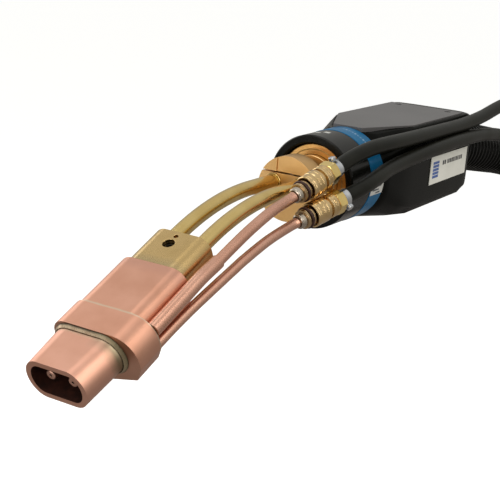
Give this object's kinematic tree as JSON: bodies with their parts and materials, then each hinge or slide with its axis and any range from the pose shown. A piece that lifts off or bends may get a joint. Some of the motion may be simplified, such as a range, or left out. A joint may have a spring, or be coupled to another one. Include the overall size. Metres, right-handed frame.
{
  "type": "mig welding torch",
  "caption": "Water-cooled tandem MIG welding torch for a robot: twin swan necks, oblong water-jacketed gas nozzle, hose couplings and a housing with a flat mounting plate.",
  "frame": {"origin": "centre of the flat mounting face on top of the housing", "axes": "+Z out of the mounting face, -Y along the housing towards the nozzle, +X towards the side with the water hoses"},
  "size_m": [0.1183, 1.0524, 0.5614],
  "materials": {
    "copper": "satin copper, slightly heat-tinted",
    "brass": "satin machined brass",
    "brass_coupling": "turned brass",
    "solder": "brazing filler, dull",
    "steel": "zinc plated or stainless, satin",
    "black_steel": "blackened",
    "black_plastic": "satin black moulded",
    "grey_plate": "grey anodised, satin",
    "blue_plastic": "satin blue",
    "label_paper": "printed label, semi-matt",
    "rubber": "black, semi-matt",
    "seal_rubber": "dark red-brown seal",
    "ceramic": "unglazed"
  },
  "bodies": {
    "torch_body": {"clamp_base": "brass", "clamp_cap": "brass", "clamp_screw": "steel", "colour_band": "blue_plastic", "cooling_pipe_1": "copper", "cooling_pipe_2": "copper", "coupling_body_1": "brass_coupling", "coupling_body_2": "brass_coupling", "coupling_plug_1": "brass_coupling", "coupling_plug_2": "brass_coupling", "gas_diffuser_1": "brass", "gas_diffuser_2": "brass", "gas_nozzle": "copper", "head_block": "brass", "head_set_screw": "black_steel", "hose_clamp_1": "steel", "hose_clamp_2": "steel", "hose_end_clamp_1": "steel", "hose_end_clamp_2": "steel", "hose_end_cuff": "rubber", "hose_end_plug_1": "brass_coupling", "hose_end_plug_2": "brass_coupling", "housing_body": "black_plastic", "jacket_sleeve": "copper", "mount_plate": "grey_plate", "mount_screw_1": "black_steel", "mount_screw_2": "black_steel", "neck_flange": "brass", "neck_root": "brass", "neck_tube_1": "brass", "neck_tube_2": "brass", "nozzle_solder_bead": "solder", "pipe_sleeve": "copper", "plug_seal_1": "seal_rubber", "plug_seal_2": "seal_rubber", "protective_hose": "rubber", "rear_cuff": "rubber", "side_label": "label_paper", "tip_holder_1": "brass", "tip_holder_2": "brass", "tip_insulator_1": "ceramic", "tip_insulator_2": "ceramic", "torch_connector": "brass_coupling", "water_hose_1": "rubber", "water_hose_2": "rubber", "water_jacket": "copper", "wire_liner_1": "steel", "wire_liner_2": "steel"},
    "lock_ring": {"lock_ring": "black_plastic"},
    "collar_1": {"coupling_collar_1": "brass_coupling"},
    "collar_2": {"coupling_collar_2": "brass_coupling"},
    "tip_1": {"contact_tip_1": "copper"},
    "tip_2": {"contact_tip_2": "copper"}
  },
  "joints": [
    {"name": "collar_1_slide", "type": "slide", "parent": "torch_body", "child": "collar_1", "axis": [0.1329, 0.9484, 0.2878], "range_m": [0, 0.003], "stiffness_N_per_m": 2000, "springref_m": -0.004},
    {"name": "collar_2_slide", "type": "slide", "parent": "torch_body", "child": "collar_2", "axis": [0.2201, 0.9444, 0.2441], "range_m": [0, 0.003], "stiffness_N_per_m": 2000, "springref_m": -0.004},
    {"name": "lock_ring_turn", "type": "hinge", "parent": "torch_body", "child": "lock_ring", "pos_m": [0, -0.176, -0.0416], "axis": [0, 1, 0], "range_deg": [0, 40]},
    {"name": "tip_1_turn", "type": "hinge", "parent": "torch_body", "child": "tip_1", "pos_m": [-0.0123, -0.44837, -0.10892], "axis": [0, -0.9135, -0.4067], "continuous": true},
    {"name": "tip_2_turn", "type": "hinge", "parent": "torch_body", "child": "tip_2", "pos_m": [0.0063, -0.44837, -0.10892], "axis": [0, -0.9135, -0.4067], "continuous": true}
  ]
}
